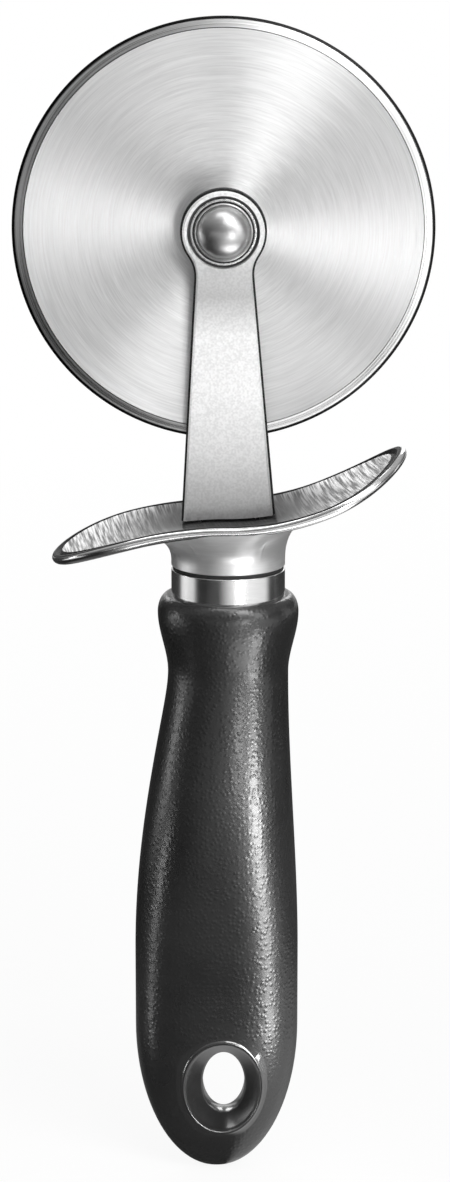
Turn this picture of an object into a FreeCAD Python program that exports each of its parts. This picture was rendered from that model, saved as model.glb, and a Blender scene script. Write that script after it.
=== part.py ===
"""Pizza cutter wheel: a cutting disc that spins between two fork arms, an S-shaped thumb guard,
a steel ferrule, and a soft grip over a rigid core with a hang hole.

Lengths are millimetres. The origin is the centre of the hang hole, +Y runs along the hole's axis
and +Z points up the tool towards the blade. The front arm is on the -Y side.
"""

import FreeCAD, Part
import math
import os
import re

import Sketcher

SHEET = "Sizes"
TOUCH = 1e-4

# Driving sizes: name, value, meaning
SIZES = [
    # wheel
    ("blade_radius", 31.75, "half of the 2 1/2 inch disc"),
    ("blade_thickness", 1.2, "disc between the bevels"),
    ("bevel_width", 1.8, "ground bevel, seen face on"),
    ("edge_thickness", 0.25, "flat left at the cutting edge"),
    ("bush_radius", 3.4, "outside of the hub bush and bore of the disc"),
    ("hub_washer_radius", 5.8, "spacers beside the disc"),
    ("hub_washer_thickness", 0.8, "spacers beside the disc"),
    ("end_float", 0.15, "gap from each spacer to its arm"),
    # axle
    ("axle_radius", 2.0, "shank of the rivet"),
    ("running_clearance", 0.05, "radial gap from shank to bush"),
    ("dome_radius", 4.4, "rivet heads"),
    ("dome_height", 2.9, "rivet heads, rim included"),
    ("dome_rim", 0.35, "straight rim under each dome"),
    ("tail_length", 1.6, "shank inside the rear cap"),
    ("seat_washer_radius", 5.0, "rings under the domes"),
    ("seat_washer_thickness", 0.45, "rings under the domes"),
    # fork arms
    ("fork_length", 43.9, "axle above the floor of the guard"),
    ("arm_thickness", 2.2, "strap"),
    ("eye_radius", 6.5, "round head of the arm"),
    ("seat_radius", 5.45, "sunk seat in the eye"),
    ("seat_depth", 0.75, "sunk seat in the eye"),
    ("strap_half_width", 4.0, "strap at the level of the axle"),
    ("foot_half_width", 7.0, "strap at its shoulder"),
    ("neck_fillet", 5.0, "eye to strap"),
    ("arm_edge_radius", 0.5, "rounded outer edges"),
    ("shoulder_gap", 0.2, "shoulder above the guard"),
    ("tang_half_width", 4.5, "strip below the shoulder"),
    ("tang_length", 43.0, "strip below the floor of the guard"),
    ("fit_clearance", 0.05, "tangs in their slot and socket"),
    ("spacer_rise", 3.0, "spacer above the floor of the guard"),
    ("pin_radius", 1.25, "cross pins"),
    ("pin_half_length", 5.8, "cross pins"),
    ("upper_pin_drop", 23.0, "below the floor of the guard"),
    ("lower_pin_drop", 37.0, "below the floor of the guard"),
    # guard
    ("neck_offset", 0.7, "axis of guard, ferrule and grip lip, right of the axle"),
    ("guard_reach_left", 26.5, "from the neck axis"),
    ("guard_reach_right", 27.4, "from the neck axis"),
    ("guard_droop", 6.3, "left tip below the floor"),
    ("guard_rise", 11.0, "right tip above the floor"),
    ("guard_half_depth", 11.7, "front to back, half"),
    ("guard_thickness", 2.0, "wings"),
    ("guard_dish", 0.7, "rim above the floor"),
    ("guard_rim_radius", 0.8, "rounded rim"),
    ("guard_neck_fillet", 2.0, "neck to wings"),
    ("guard_neck", 7.4, "floor above the seal"),
    ("seam_chamfer", 0.25, "edges beside the seal"),
    # seal and ferrule
    ("seal_thickness", 0.6, "dark ring between guard and ferrule"),
    ("seal_inset", 0.25, "seal inside the ferrule's surface"),
    ("ferrule_radius", 8.7, "outside, also of the guard's neck"),
    ("ferrule_bore_radius", 7.2, "inside"),
    ("ferrule_show", 4.0, "part above the grip"),
    ("ferrule_sunk", 3.2, "part inside the grip"),
    # grip, heights above the hang hole
    ("grip_top", 78.6, "upper edge"),
    ("grip_edge_wall", 0.5, "grip around the ferrule at the upper edge"),
    ("lip_drop", 2.8, "widest part of the lip below the upper edge"),
    ("lip_half_width", 10.8, "lip"),
    ("lip_half_depth", 10.4, "lip"),
    ("waist_drop", 12.1, "waist below the upper edge"),
    ("waist_half_width", 9.25, "waist"),
    ("waist_half_depth", 9.1, "waist"),
    ("palm_height", 45.5, "deepest part"),
    ("palm_half_depth", 10.4, "deepest part"),
    ("belly_height", 21.5, "widest part begins"),
    ("belly_left", 13.8, "widest part, left of the axle"),
    ("belly_right", 11.6, "widest part, right of the axle"),
    ("end_height", 9.5, "rounded end begins"),
    ("end_half_depth", 7.2, "rounded end"),
    ("end_drop", 14.4, "tip below the hang hole"),
    ("grip_wall", 2.6, "soft grip over the core"),
    # hang hole
    ("rim_half_width", 6.4, "funnel where it meets the grip"),
    ("rim_half_height", 7.8, "funnel where it meets the grip"),
    ("rim_half_depth", 6.6, "funnel where it meets the grip"),
    ("throat_half_width", 3.3, "clear opening"),
    ("throat_half_height", 4.9, "clear opening"),
    ("throat_half_depth", 1.5, "straight part of the opening"),
    ("lining_wall", 1.2, "soft lining of the opening"),
    # one length that only makes cuts run past the material
    ("overrun", 1.0, "cuts past the material"),
]

# Shares that shape the grip's sections
ROUND_POWER = 2.0
BELLY_POWER = 2.35
SECTION_POINTS = 24
END_SHARES = (0.3, 0.52, 0.7, 0.83, 0.92, 0.975, 0.997)
EDGE_SHARES = (1.0, 0.92, 0.7, 0.38)
LIP_SHARES = (0.0, 0.25, 0.5, 0.75)
HANDLE_SHARES = (0.0, 0.12, 0.28, 0.44, 0.6, 0.78)

# Sizes worked out from the driving ones, as expressions
GUARD_TOP = "(grip_top + ferrule_show + seal_thickness + guard_neck)"
AXLE_HEIGHT = f"({GUARD_TOP} + fork_length)"
FERRULE_TOP = "(grip_top + ferrule_show)"
FERRULE_BOTTOM = "(grip_top - ferrule_sunk)"
STACK_HALF = "(blade_thickness / 2 + hub_washer_thickness)"
FORK_INNER = f"({STACK_HALF} + end_float)"
FORK_OUTER = f"({FORK_INNER} + arm_thickness)"
HEAD_SEAT = f"({FORK_OUTER} - seat_depth + seat_washer_thickness)"
RIGHT_BEND = "((guard_reach_right^2 + guard_rise^2) / (2 * guard_rise))"
LEFT_BEND = "((guard_reach_left^2 + guard_droop^2) / (2 * guard_droop))"
DISH_BEND = "((guard_half_depth^2 + guard_dish^2) / (2 * guard_dish))"

doc = FreeCAD.newDocument("pizza_cutter")
sheet = doc.addObject("Spreadsheet::Sheet", SHEET)
for row, (alias, number, meaning) in enumerate(SIZES, start=1):
    sheet.set(f"A{row}", alias)
    sheet.set(f"B{row}", str(number))
    sheet.set(f"C{row}", meaning)
    sheet.setAlias(f"B{row}", alias)
doc.recompute()
ALIASES = {alias for alias, number, meaning in SIZES}
nodes = []


def value(expression):
    """The number that an expression in sheet names comes to."""
    return float(sheet.evalExpression(expression))


def bind(target, prop, expression):
    """Tie a property to the sheet."""
    def with_sheet(match):
        word = match.group(0)
        return f"{SHEET}.{word}" if word in ALIASES else word
    target.setExpression(prop, re.sub(r"[a-z_]+", with_sheet, expression))


def place(target, x="0", y="0", z="0"):
    """Tie an object's position to the sheet."""
    for axis, expression in zip("xyz", (x, y, z)):
        bind(target, f"Placement.Base.{axis}", expression)


def new_body(label):
    body = doc.addObject("PartDesign::Body", label)
    nodes.append(body)
    return body


def new_sketch(body, name, role, lift=None):
    """A sketch on one of the body's own origin planes, lifted along the plane's normal."""
    sketch = body.newObject("Sketcher::SketchObject", f"{body.Name}_{name}")
    plane = [item for item in body.Origin.OriginFeatures if item.Role == role][0]
    sketch.AttachmentSupport = [(plane, "")]
    sketch.MapMode = "FlatFace"
    if lift:
        bind(sketch, "AttachmentOffset.Base.z", lift)
    return sketch


def fix_point(sketch, geometry, end, x, y):
    """Hold one end of a sketch line or arc at sheet-driven coordinates."""
    for kind, axis, expression in (("DistanceX", -2, x), ("DistanceY", -1, y)):
        if expression == "0":
            sketch.addConstraint(Sketcher.Constraint("PointOnObject", geometry, end, axis))
            continue
        rule = Sketcher.Constraint(kind, -1, 1, geometry, end, value(expression))
        index = sketch.addConstraint(rule)
        bind(sketch, f"Constraints[{index}]", expression)


def polygon(sketch, corners):
    """A closed chain of straight edges through sheet-driven corners."""
    first = sketch.GeometryCount
    points = [FreeCAD.Vector(value(x), value(y), 0) for x, y in corners]
    count = len(points)
    for step in range(count):
        sketch.addGeometry(Part.LineSegment(points[step], points[(step + 1) % count]))
    for step in range(count):
        following = first + (step + 1) % count
        sketch.addConstraint(Sketcher.Constraint("Coincident", first + step, 2, following, 1))
    for step, (x, y) in enumerate(corners):
        fix_point(sketch, first + step, 1, x, y)


def box_outline(sketch, x0, y0, x1, y1):
    polygon(sketch, [(x0, y0), (x1, y0), (x1, y1), (x0, y1)])


def circle(sketch, x, y, radius):
    """A full circle with a sheet-driven centre and radius."""
    centre = FreeCAD.Vector(value(x), value(y), 0)
    index = sketch.addGeometry(Part.Circle(centre, FreeCAD.Vector(0, 0, 1), value(radius)))
    fix_point(sketch, index, 3, x, y)
    rule = sketch.addConstraint(Sketcher.Constraint("Radius", index, value(radius)))
    bind(sketch, f"Constraints[{rule}]", radius)


def revolve(body, sketch, axis="V_Axis", angle=None, reverse=False):
    feature = body.newObject("PartDesign::Revolution", f"{sketch.Name}_turn")
    feature.Profile = sketch
    feature.ReferenceAxis = (sketch, [axis])
    feature.Reversed = reverse
    if angle:
        bind(feature, "Angle", angle)
    doc.recompute()
    return feature


def pad(body, sketch, length, reverse=False):
    feature = body.newObject("PartDesign::Pad", f"{sketch.Name}_pad")
    feature.Profile = sketch
    feature.Reversed = reverse
    bind(feature, "Length", length)
    doc.recompute()
    return feature


def pocket(body, sketch, length=None, reverse=False):
    """Cut to a length, or right through both ways when no length is given."""
    before = body.Shape.Volume
    feature = body.newObject("PartDesign::Pocket", f"{sketch.Name}_cut")
    feature.Profile = sketch
    feature.Reversed = reverse
    if length:
        bind(feature, "Length", length)
    else:
        feature.SideType = "Two sides"
        feature.Type = "ThroughAll"
        feature.Type2 = "ThroughAll"
    doc.recompute()
    if feature.Shape.Volume >= before:
        raise RuntimeError(f"{feature.Name} removed nothing")
    return feature


def dress_edges(body, kind, size, chosen):
    """Round or bevel the edges of the body's tip that the test picks."""
    base = body.Tip
    names = [f"Edge{i}" for i, edge in enumerate(base.Shape.Edges, start=1) if chosen(edge)]
    if not names:
        raise RuntimeError(f"{body.Name}: no edge found to dress")
    feature = body.newObject(f"PartDesign::{kind}", f"{base.Name}_{kind.lower()}")
    feature.Base = (base, names)
    bind(feature, "Radius" if kind == "Fillet" else "Size", size)
    doc.recompute()
    return feature


def samples(edge):
    """Three points along an edge."""
    start, end = edge.ParameterRange
    return [edge.valueAt(start + (end - start) * share) for share in (0, 0.5, 1)]


def near(first, second):
    return abs(first - second) < TOUCH


def turned_ring(label, inner, outer, low, high):
    """A ring about the axle, from one Y to another."""
    body = new_body(label)
    sketch = new_sketch(body, "half", "XY_Plane")
    box_outline(sketch, inner, low, outer, high)
    revolve(body, sketch)
    place(body, z=AXLE_HEIGHT)
    return body


def cutting_blade():
    body = new_body("cutting_blade")
    sketch = new_sketch(body, "half", "XY_Plane")
    shoulder = "blade_radius - bevel_width"
    corners = [
        ("bush_radius", "-blade_thickness / 2"),
        (shoulder, "-blade_thickness / 2"),
        ("blade_radius", "-edge_thickness / 2"),
        ("blade_radius", "edge_thickness / 2"),
        (shoulder, "blade_thickness / 2"),
        ("bush_radius", "blade_thickness / 2"),
    ]
    polygon(sketch, corners)
    revolve(body, sketch)
    place(body, z=AXLE_HEIGHT)


def hub():
    bore = "axle_radius + running_clearance"
    face = "blade_thickness / 2"
    turned_ring("hub_bush", bore, "bush_radius", f"-{STACK_HALF}", STACK_HALF)
    turned_ring("hub_washer_front", "bush_radius", "hub_washer_radius", f"-{STACK_HALF}", f"-{face}")
    turned_ring("hub_washer_rear", "bush_radius", "hub_washer_radius", face, STACK_HALF)


def dome_profile(sketch, corners, rim_y, top_y):
    """A closed half outline whose first side is the dome's arc, from the axis out to the rim."""
    top = FreeCAD.Vector(0, value(top_y), 0)
    rim = FreeCAD.Vector(value("dome_radius"), value(rim_y), 0)
    rise = top.y - rim.y
    centre_y = (top.y + rim.y) / 2 - rim.x ** 2 / (2 * rise)
    reach = abs(top.y - centre_y)
    slant = math.atan2(rim.y - centre_y, rim.x)
    middle_turn = (slant + math.copysign(math.pi / 2, rise)) / 2
    middle = FreeCAD.Vector(reach * math.cos(middle_turn), centre_y + reach * math.sin(middle_turn), 0)
    sketch.addGeometry(Part.Arc(top, middle, rim))
    top_end = 1 if sketch.getPoint(0, 1).isEqual(top, TOUCH) else 2
    points = [rim] + [FreeCAD.Vector(value(x), value(y), 0) for x, y in corners] + [top]
    for start, end in zip(points, points[1:]):
        sketch.addGeometry(Part.LineSegment(start, end))
    last = sketch.GeometryCount - 1
    sketch.addConstraint(Sketcher.Constraint("Coincident", 0, 3 - top_end, 1, 1))
    for step in range(1, last):
        sketch.addConstraint(Sketcher.Constraint("Coincident", step, 2, step + 1, 1))
    sketch.addConstraint(Sketcher.Constraint("Coincident", last, 2, 0, top_end))
    sketch.addConstraint(Sketcher.Constraint("PointOnObject", 0, 3, -2))
    fix_point(sketch, 0, top_end, "0", top_y)
    fix_point(sketch, 0, 3 - top_end, "dome_radius", rim_y)
    for step, (x, y) in enumerate(corners, start=1):
        fix_point(sketch, step, 2, x, y)


def axle():
    tail = f"{HEAD_SEAT} + tail_length"
    rivet = new_body("axle_rivet")
    sketch = new_sketch(rivet, "half", "XY_Plane")
    corners = [
        ("dome_radius", f"-{HEAD_SEAT}"),
        ("axle_radius", f"-{HEAD_SEAT}"),
        ("axle_radius", tail),
        ("0", tail),
    ]
    dome_profile(sketch, corners, f"-{HEAD_SEAT} - dome_rim", f"-{HEAD_SEAT} - dome_height")
    revolve(rivet, sketch)
    place(rivet, z=AXLE_HEIGHT)
    cap = new_body("axle_cap")
    sketch = new_sketch(cap, "half", "XY_Plane")
    corners = [
        ("dome_radius", HEAD_SEAT),
        ("axle_radius", HEAD_SEAT),
        ("axle_radius", tail),
        ("0", tail),
    ]
    dome_profile(sketch, corners, f"{HEAD_SEAT} + dome_rim", f"{HEAD_SEAT} + dome_height")
    revolve(cap, sketch)
    place(cap, z=AXLE_HEIGHT)
    floor = f"({FORK_OUTER} - seat_depth)"
    turned_ring("seat_washer_front", "axle_radius", "seat_washer_radius", f"-{HEAD_SEAT}", f"-{floor}")
    turned_ring("seat_washer_rear", "axle_radius", "seat_washer_radius", floor, HEAD_SEAT)


def fork_arm(label, rear):
    """One arm, its inner face on the body's XZ plane, grown away from the blade."""
    body = new_body(label)
    side = "" if rear else "-"
    place(body, y=f"{side}{FORK_INNER}", z=AXLE_HEIGHT)
    eye = new_sketch(body, "eye", "XZ_Plane")
    circle(eye, "0", "0", "eye_radius")
    pad(body, eye, "arm_thickness", reverse=rear)
    right_bed = f"({RIGHT_BEND} - sqrt({RIGHT_BEND}^2 - foot_half_width^2))"
    left_bed = f"({LEFT_BEND} - sqrt({LEFT_BEND}^2 - foot_half_width^2))"
    shoulder = "(shoulder_gap - fork_length)"
    strap = new_sketch(body, "strap", "XZ_Plane")
    corners = [
        ("-strap_half_width", "0"),
        ("neck_offset - foot_half_width", f"{shoulder} - {left_bed}"),
        ("neck_offset - tang_half_width", f"{shoulder} - {left_bed} * tang_half_width / foot_half_width"),
        ("neck_offset - tang_half_width", "-fork_length - tang_length"),
        ("neck_offset + tang_half_width", "-fork_length - tang_length"),
        ("neck_offset + tang_half_width", f"{shoulder} + {right_bed} * tang_half_width / foot_half_width"),
        ("neck_offset + foot_half_width", f"{shoulder} + {right_bed}"),
        ("strap_half_width", "0"),
    ]
    polygon(strap, corners)
    pad(body, strap, "arm_thickness", reverse=rear)
    eye_radius = value("eye_radius")
    foot = value(f"{shoulder} + {right_bed}")

    def neck_corner(edge):
        ends = [vertex.Point for vertex in edge.Vertexes]
        if len(ends) != 2 or near(ends[0].y, ends[1].y):
            return False
        return all(near(math.hypot(point.x, point.z), eye_radius) for point in ends)

    dress_edges(body, "Fillet", "neck_fillet", neck_corner)
    outer_y = value("arm_thickness") if rear else -value("arm_thickness")

    def outer_rim(edge):
        points = samples(edge)
        on_face = all(near(point.y, outer_y) for point in points)
        return on_face and points[1].z > foot

    dress_edges(body, "Fillet", "arm_edge_radius", outer_rim)
    seat = new_sketch(body, "seat", "XZ_Plane", "-arm_thickness" if rear else "arm_thickness")
    circle(seat, "0", "0", "seat_radius")
    pocket(body, seat, "seat_depth", reverse=rear)
    holes = new_sketch(body, "holes", "XZ_Plane")
    circle(holes, "0", "0", "axle_radius")
    circle(holes, "neck_offset", "-fork_length - upper_pin_drop", "pin_radius")
    circle(holes, "neck_offset", "-fork_length - lower_pin_drop", "pin_radius")
    pocket(body, holes)


def tang_spacer():
    body = new_body("tang_spacer")
    sketch = new_sketch(body, "face", "XZ_Plane")
    box_outline(sketch, "-tang_half_width", "-tang_length", "tang_half_width", "spacer_rise")
    circle(sketch, "0", "-upper_pin_drop", "pin_radius")
    circle(sketch, "0", "-lower_pin_drop", "pin_radius")
    pad(body, sketch, f"2 * {FORK_INNER}")
    place(body, x="neck_offset", y=FORK_INNER, z=GUARD_TOP)


def tang_pins():
    """Both cross pins, as one node."""
    pins = []
    for drop in ("upper_pin_drop", "lower_pin_drop"):
        pin = doc.addObject("Part::Cylinder", f"pin_{drop}")
        pin.Placement = FreeCAD.Placement(
            FreeCAD.Vector(), FreeCAD.Rotation(FreeCAD.Vector(1, 0, 0), -90))
        bind(pin, "Radius", "pin_radius")
        bind(pin, "Height", "2 * pin_half_length")
        place(pin, y="-pin_half_length", z=f"-{drop}")
        pins.append(pin)
    group = doc.addObject("Part::Compound", "tang_pins")
    group.Links = pins
    place(group, x="neck_offset", z=GUARD_TOP)
    nodes.append(group)


def wing(body, name, bend, reach, above):
    """One wing: a dished strip turned about an axis above or below the neck, past its reach."""
    sketch = new_sketch(body, name, "YZ_Plane")
    half = "guard_half_depth + overrun"
    reach_y = value(half)
    radius = value(DISH_BEND)
    centre = FreeCAD.Vector(0, radius, 0)
    for extra in ("0", "guard_thickness"):
        size = radius + value(extra)
        spread = math.asin(reach_y / size)
        ring = Part.Circle(centre, FreeCAD.Vector(0, 0, 1), size)
        index = sketch.addGeometry(
            Part.ArcOfCircle(ring, 1.5 * math.pi - spread, 1.5 * math.pi + spread))
        fix_point(sketch, index, 3, "0", DISH_BEND)
        rule = sketch.addConstraint(Sketcher.Constraint("Radius", index, size))
        bind(sketch, f"Constraints[{rule}]", f"{DISH_BEND} + {extra}")
        for end, sign in ((1, "-"), (2, "")):
            rule = Sketcher.Constraint("DistanceX", -1, 1, index, end, value(f"{sign}({half})"))
            bind(sketch, f"Constraints[{sketch.addConstraint(rule)}]", f"{sign}({half})")
    for end in (1, 2):
        index = sketch.addGeometry(Part.LineSegment(sketch.getPoint(0, end), sketch.getPoint(1, end)))
        sketch.addConstraint(Sketcher.Constraint("Coincident", index, 1, 0, end))
        sketch.addConstraint(Sketcher.Constraint("Coincident", index, 2, 1, end))
    axis_y = bend if above else f"-{bend}"
    left = FreeCAD.Vector(-reach_y, value(axis_y), 0)
    right = FreeCAD.Vector(reach_y, value(axis_y), 0)
    axis = sketch.addGeometry(Part.LineSegment(left, right), True)
    fix_point(sketch, axis, 1, f"-({half})", axis_y)
    fix_point(sketch, axis, 2, half, axis_y)
    revolve(body, sketch, "Axis0", f"asin(({reach} + overrun) / ({bend} - guard_thickness))", reverse=True)


def thumb_guard():
    """The body's origin is on the neck axis, at the floor of the dish."""
    body = new_body("thumb_guard")
    place(body, x="neck_offset", z=GUARD_TOP)
    wing(body, "right_wing", RIGHT_BEND, "guard_reach_right", above=True)
    wing(body, "left_wing", LEFT_BEND, "guard_reach_left", above=False)
    trim = new_sketch(body, "plan", "XY_Plane")
    plan_outline(trim)
    pocket(body, trim)
    right_under = f"{RIGHT_BEND} - sqrt({RIGHT_BEND}^2 - ferrule_radius^2) - guard_thickness"
    left_over = f"sqrt({LEFT_BEND}^2 - ferrule_radius^2) - {LEFT_BEND}"
    neck = new_sketch(body, "neck", "XY_Plane", "-guard_neck")
    circle(neck, "0", "0", "ferrule_radius")
    pad(body, neck, f"guard_neck + ({right_under} + {left_over}) / 2")
    slot = new_sketch(body, "slot", "XY_Plane")
    half_x = "(tang_half_width + fit_clearance)"
    half_y = f"({FORK_OUTER} + fit_clearance)"
    box_outline(slot, f"-{half_x}", f"-{half_y}", half_x, half_y)
    pocket(body, slot)
    neck_radius = value("ferrule_radius")
    neck_bottom = -value("guard_neck")

    def neck_root(edge):
        points = samples(edge)
        round_neck = all(near(math.hypot(point.x, point.y), neck_radius) for point in points)
        return round_neck and min(point.z for point in points) > neck_bottom / 2

    dress_edges(body, "Fillet", "guard_neck_fillet", neck_root)
    half_depth = value("guard_half_depth")
    left_end = half_depth - value("guard_reach_left")
    right_end = value("guard_reach_right") - half_depth

    def rim(edge):
        points = samples(edge)
        if near(points[0].x, points[2].x) and near(points[0].y, points[2].y):
            return False
        gaps = [math.hypot(p.x - min(max(p.x, left_end), right_end), p.y) for p in points]
        return all(near(gap, half_depth) for gap in gaps)

    dress_edges(body, "Fillet", "guard_rim_radius", rim)

    def seam(edge):
        points = samples(edge)
        low = all(near(point.z, neck_bottom) for point in points)
        return low and all(near(math.hypot(point.x, point.y), neck_radius) for point in points)

    dress_edges(body, "Chamfer", "seam_chamfer", seam)


def plan_outline(sketch):
    """What lies outside the guard's outline from above: a box with a round-ended slot in it."""
    margin = "guard_half_depth"
    box_outline(
        sketch,
        f"-guard_reach_left - {margin}", f"-guard_half_depth - {margin}",
        f"guard_reach_right + {margin}", f"guard_half_depth + {margin}")
    half = value("guard_half_depth")
    left = "guard_half_depth - guard_reach_left"
    right = "guard_reach_right - guard_half_depth"
    ends = []
    for x, turn in ((left, math.pi / 2), (right, -math.pi / 2)):
        ring = Part.Circle(FreeCAD.Vector(value(x), 0, 0), FreeCAD.Vector(0, 0, 1), half)
        index = sketch.addGeometry(Part.ArcOfCircle(ring, turn, turn + math.pi))
        fix_point(sketch, index, 3, x, "0")
        ends.append(index)
    for first, second in ((0, 1), (1, 0)):
        start = sketch.getPoint(ends[first], 2)
        end = sketch.getPoint(ends[second], 1)
        line = sketch.addGeometry(Part.LineSegment(start, end))
        sketch.addConstraint(Sketcher.Constraint("Tangent", ends[first], 2, line, 1))
        sketch.addConstraint(Sketcher.Constraint("Tangent", line, 2, ends[second], 1))
    sketch.addConstraint(Sketcher.Constraint("Horizontal", line))
    rule = sketch.addConstraint(Sketcher.Constraint("Radius", ends[0], half))
    bind(sketch, f"Constraints[{rule}]", "guard_half_depth")


def ferrule():
    body = new_body("ferrule")
    sketch = new_sketch(body, "half", "XZ_Plane")
    corners = [
        ("ferrule_bore_radius", FERRULE_BOTTOM),
        ("ferrule_radius", FERRULE_BOTTOM),
        ("ferrule_radius", f"{FERRULE_TOP} - seam_chamfer"),
        ("ferrule_radius - seam_chamfer", FERRULE_TOP),
        ("ferrule_bore_radius", FERRULE_TOP),
    ]
    polygon(sketch, corners)
    revolve(body, sketch)
    place(body, x="neck_offset")


def neck_seal():
    body = new_body("neck_seal")
    sketch = new_sketch(body, "half", "XZ_Plane")
    box_outline(
        sketch, "ferrule_bore_radius", FERRULE_TOP,
        "ferrule_radius - seal_inset", f"{FERRULE_TOP} + seal_thickness")
    revolve(body, sketch)
    place(body, x="neck_offset")


def blend(low, high, share):
    """Ease in and out from one value to another as the share goes from 0 to 1."""
    share = min(max(share, 0.0), 1.0)
    return low + (high - low) * share * share * (3 - 2 * share)


def swell(low, high, share):
    """Set off at once and ease out, from one value to another."""
    share = min(max(share, 0.0), 1.0)
    return low + (high - low) * math.sin(share * math.pi / 2)


def grip_section(height, inset):
    """Middle, half width, half depth and squareness of the handle at a height."""
    top = value("grip_top")
    lip = top - value("lip_drop")
    waist = top - value("waist_drop")
    palm = value("palm_height")
    belly = value("belly_height")
    end = value("end_height")
    down = (waist - height) / (waist - belly)
    left = swell(value("neck_offset - waist_half_width"), -value("belly_left"), down)
    right = blend(value("neck_offset + waist_half_width"), value("belly_right"), down)
    middle = (left + right) / 2
    wide = (right - left) / 2
    power = blend(ROUND_POWER, BELLY_POWER, down)
    if height > lip:
        rise = math.sqrt(max(0.0, 1 - ((height - lip) / value("lip_drop")) ** 2))
        edge = value("ferrule_radius + grip_edge_wall")
        wide = edge + (value("lip_half_width") - edge) * rise
        deep = edge + (value("lip_half_depth") - edge) * rise
    elif height > waist:
        share = (lip - height) / (lip - waist)
        wide = blend(value("lip_half_width"), value("waist_half_width"), share)
        deep = blend(value("lip_half_depth"), value("waist_half_depth"), share)
    else:
        deep = blend(value("waist_half_depth"), value("palm_half_depth"), (waist - height) / (waist - palm))
        if height < palm:
            deep = blend(value("palm_half_depth"), value("end_half_depth"), (palm - height) / (palm - end))
    wide -= inset
    deep -= inset
    if height < end:
        reach = end + value("end_drop") - inset
        shrink = math.sqrt(max(0.0, 1 - ((end - height) / reach) ** 2))
        wide *= shrink
        deep *= shrink
    return middle, wide, deep, power


def section_wire(height, inset):
    """One closed smooth section, rounder at the lip and squarer at the belly."""
    middle, wide, deep, power = grip_section(height, inset)
    points = []
    for step in range(SECTION_POINTS):
        turn = 2 * math.pi * step / SECTION_POINTS
        along = math.copysign(abs(math.cos(turn)) ** (2 / power), math.cos(turn))
        across = math.copysign(abs(math.sin(turn)) ** (2 / power), math.sin(turn))
        points.append(FreeCAD.Vector(middle + wide * along, deep * across, height))
    curve = Part.BSplineCurve()
    curve.interpolate(points, PeriodicFlag=True)
    return Part.Wire([curve.toShape()])


def handle_heights(inset):
    """Heights of the sections from the lip down to the tip."""
    top = value("grip_top")
    lip = top - value("lip_drop")
    waist = top - value("waist_drop")
    belly = value("belly_height")
    end = value("end_height")
    reach = end + value("end_drop") - inset
    heights = [lip + (waist - lip) * share for share in LIP_SHARES]
    heights += [waist + (belly - waist) * share for share in HANDLE_SHARES]
    heights += [belly, (belly + end) / 2, end]
    heights += [end - reach * share for share in END_SHARES]
    return heights


def oval(y, half_width, half_height):
    """An upright oval across the hang hole."""
    points = []
    for step in range(SECTION_POINTS):
        turn = 2 * math.pi * step / SECTION_POINTS
        points.append(FreeCAD.Vector(half_width * math.cos(turn), y, half_height * math.sin(turn)))
    curve = Part.BSplineCurve()
    curve.interpolate(points, PeriodicFlag=True)
    return Part.Wire([curve.toShape()])


def oval_bar(half_width, half_height, half_depth):
    return Part.makeLoft([oval(y, half_width, half_height) for y in (-half_depth, half_depth)], True, True)


def hang_funnel():
    """The open space of the hang hole: a short throat that widens to both faces."""
    throat = value("throat_half_depth")
    rim = value("rim_half_depth")
    past = rim + value("overrun")
    growth_share = (past - throat) / (rim - throat)
    wide = value("throat_half_width") + value("rim_half_width - throat_half_width") * growth_share
    high = value("throat_half_height") + value("rim_half_height - throat_half_height") * growth_share
    space = oval_bar(value("throat_half_width"), value("throat_half_height"), throat)
    for sign in (-1, 1):
        inner = oval(sign * throat, value("throat_half_width"), value("throat_half_height"))
        space = space.fuse(Part.makeLoft([inner, oval(sign * past, wide, high)], True, True))
    return space


def core_blank():
    """The core before its socket and bores: the handle less the grip's wall, and a spigot."""
    inset = value("grip_wall")
    bottom = value(FERRULE_BOTTOM)
    heights = [bottom] + [height for height in handle_heights(inset) if height < bottom - inset]
    blank = Part.makeLoft([section_wire(height, inset) for height in heights], True)
    eye = oval_bar(
        value("(throat_half_width + rim_half_width) / 2 + lining_wall"),
        value("(throat_half_height + rim_half_height) / 2 + lining_wall"),
        value("lip_half_depth"))
    return blank.cut(eye)


def spigot(radius):
    """A round bar on the neck axis, over the length of the ferrule and the seal."""
    base = FreeCAD.Vector(value("neck_offset"), 0, value(FERRULE_BOTTOM))
    return Part.makeCylinder(radius, value("ferrule_sunk + ferrule_show + seal_thickness"), base)


def handle_core(blank):
    """Rigid core with the tang socket, the pin bores and the eye for the hang hole."""
    half_x = value("tang_half_width + fit_clearance")
    half_y = value(f"{FORK_OUTER} + fit_clearance")
    floor = value(f"{GUARD_TOP} - tang_length - fit_clearance")
    corner = FreeCAD.Vector(value("neck_offset") - half_x, -half_y, floor)
    height = value(f"{GUARD_TOP} - guard_neck") - floor
    socket = Part.makeBox(2 * half_x, 2 * half_y, height, corner)
    core = blank.fuse(spigot(value("ferrule_bore_radius"))).cut(socket)
    for drop in ("upper_pin_drop", "lower_pin_drop"):
        half_depth = value("palm_half_depth")
        base = FreeCAD.Vector(value("neck_offset"), -half_depth, value(f"{GUARD_TOP} - {drop}"))
        core = core.cut(Part.makeCylinder(value("pin_radius"), 2 * half_depth, base, FreeCAD.Vector(0, 1, 0)))
    return core


def grip_sleeve(blank):
    """Soft grip around the core, open at the top for the ferrule and through the hang hole."""
    top = value("grip_top")
    drop = value("lip_drop")
    heights = [top - drop + drop * share for share in EDGE_SHARES] + handle_heights(0)
    grip = Part.makeLoft([section_wire(height, 0) for height in heights], True)
    grip = grip.cut(hang_funnel())
    grip = grip.cut(blank)
    return grip.cut(spigot(value("ferrule_radius")))


def shaped(label, shape):
    """A node whose shape is built above from the sheet's sizes."""
    feature = doc.addObject("Part::Feature", label)
    feature.Shape = shape
    nodes.append(feature)


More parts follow.
